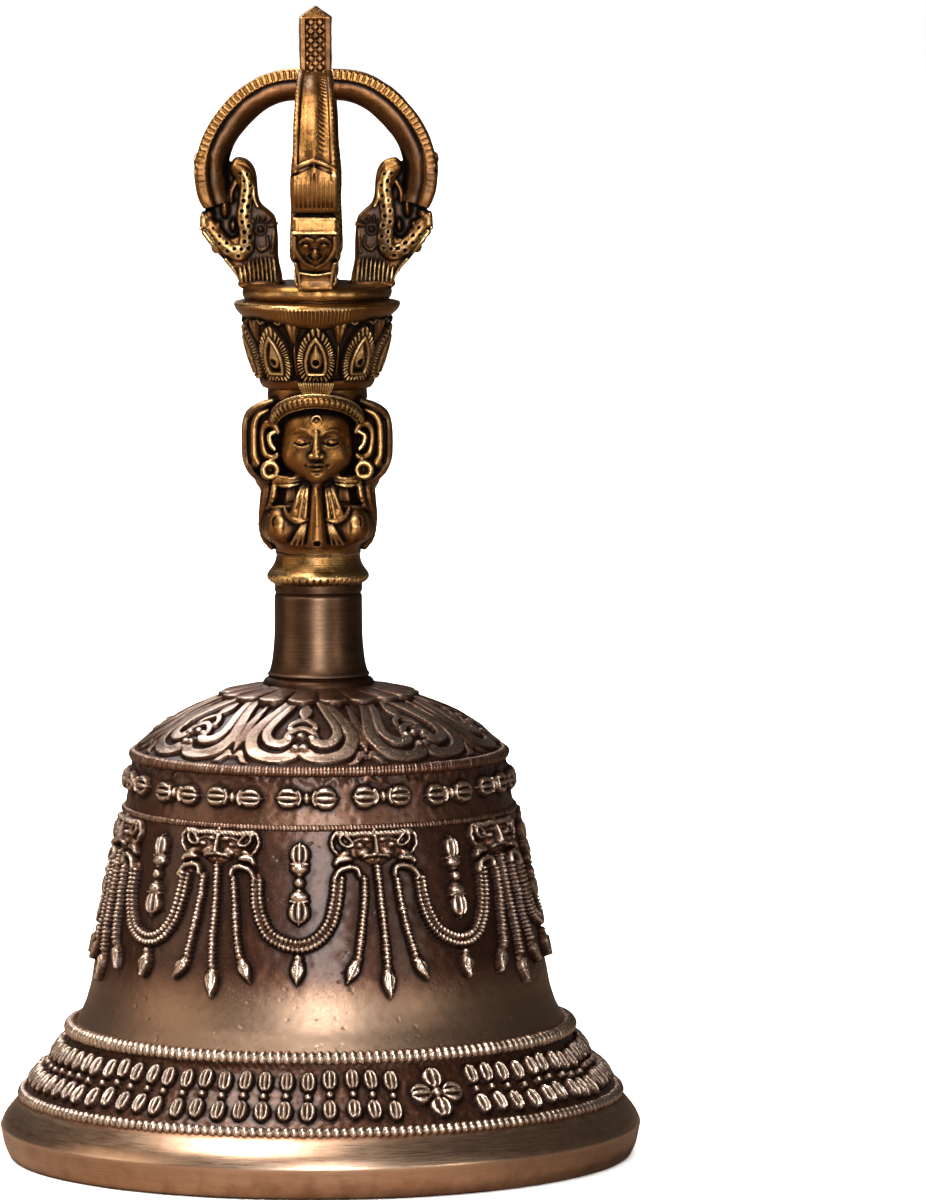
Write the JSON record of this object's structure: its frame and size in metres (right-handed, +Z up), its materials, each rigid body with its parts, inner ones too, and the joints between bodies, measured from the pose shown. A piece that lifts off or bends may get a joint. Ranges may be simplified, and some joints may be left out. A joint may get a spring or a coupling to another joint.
{
  "type": "tibetan hand bell",
  "caption": "Flared bronze hand bell with cast ornament, turned neck sleeve, brass figure handle and a half-vajra of closed prongs; a clapper hangs on a link inside.",
  "frame": {"origin": "centre of the flat foot of the lip, in the plane the bell stands on", "axes": "+Z up along the bell's axis to the point of the centre prong, -Y towards the side the handle's face looks to, +X to the right seen from there"},
  "size_m": [0.0964, 0.0964, 0.1725],
  "materials": {
    "bell_bronze": "cast, darkened in the recesses and rubbed bright on the relief; turned and brushed lip",
    "sleeve_bronze": "turned and brushed, brown patina",
    "handle_brass": "cast, dark antiqued recesses and rubbed golden edges",
    "dark_iron": "forged, dark, worn bright where it rubs"
  },
  "bodies": {
    "bell": {"bell_shell": "bell_bronze", "neck_sleeve": "sleeve_bronze", "figure_handle": "handle_brass", "prong_front": "handle_brass", "prong_back": "handle_brass", "prong_left": "handle_brass", "prong_right": "handle_brass", "centre_prong": "handle_brass", "tie_rod": "dark_iron", "crown_washer": "dark_iron", "lock_nut": "dark_iron"},
    "link": {"clapper_link": "dark_iron"},
    "clapper": {"clapper": "dark_iron"}
  },
  "joints": [
    {"name": "link_turn", "type": "hinge", "parent": "bell", "child": "link", "pos_m": [0, 0, 0.0524], "axis": [0, 0, 1], "range_deg": [-35, 35]},
    {"name": "clapper_swing", "type": "hinge", "parent": "link", "child": "clapper", "pos_m": [0, 0, 0.048], "axis": [0, 1, 0], "range_deg": [-42, 42]}
  ]
}
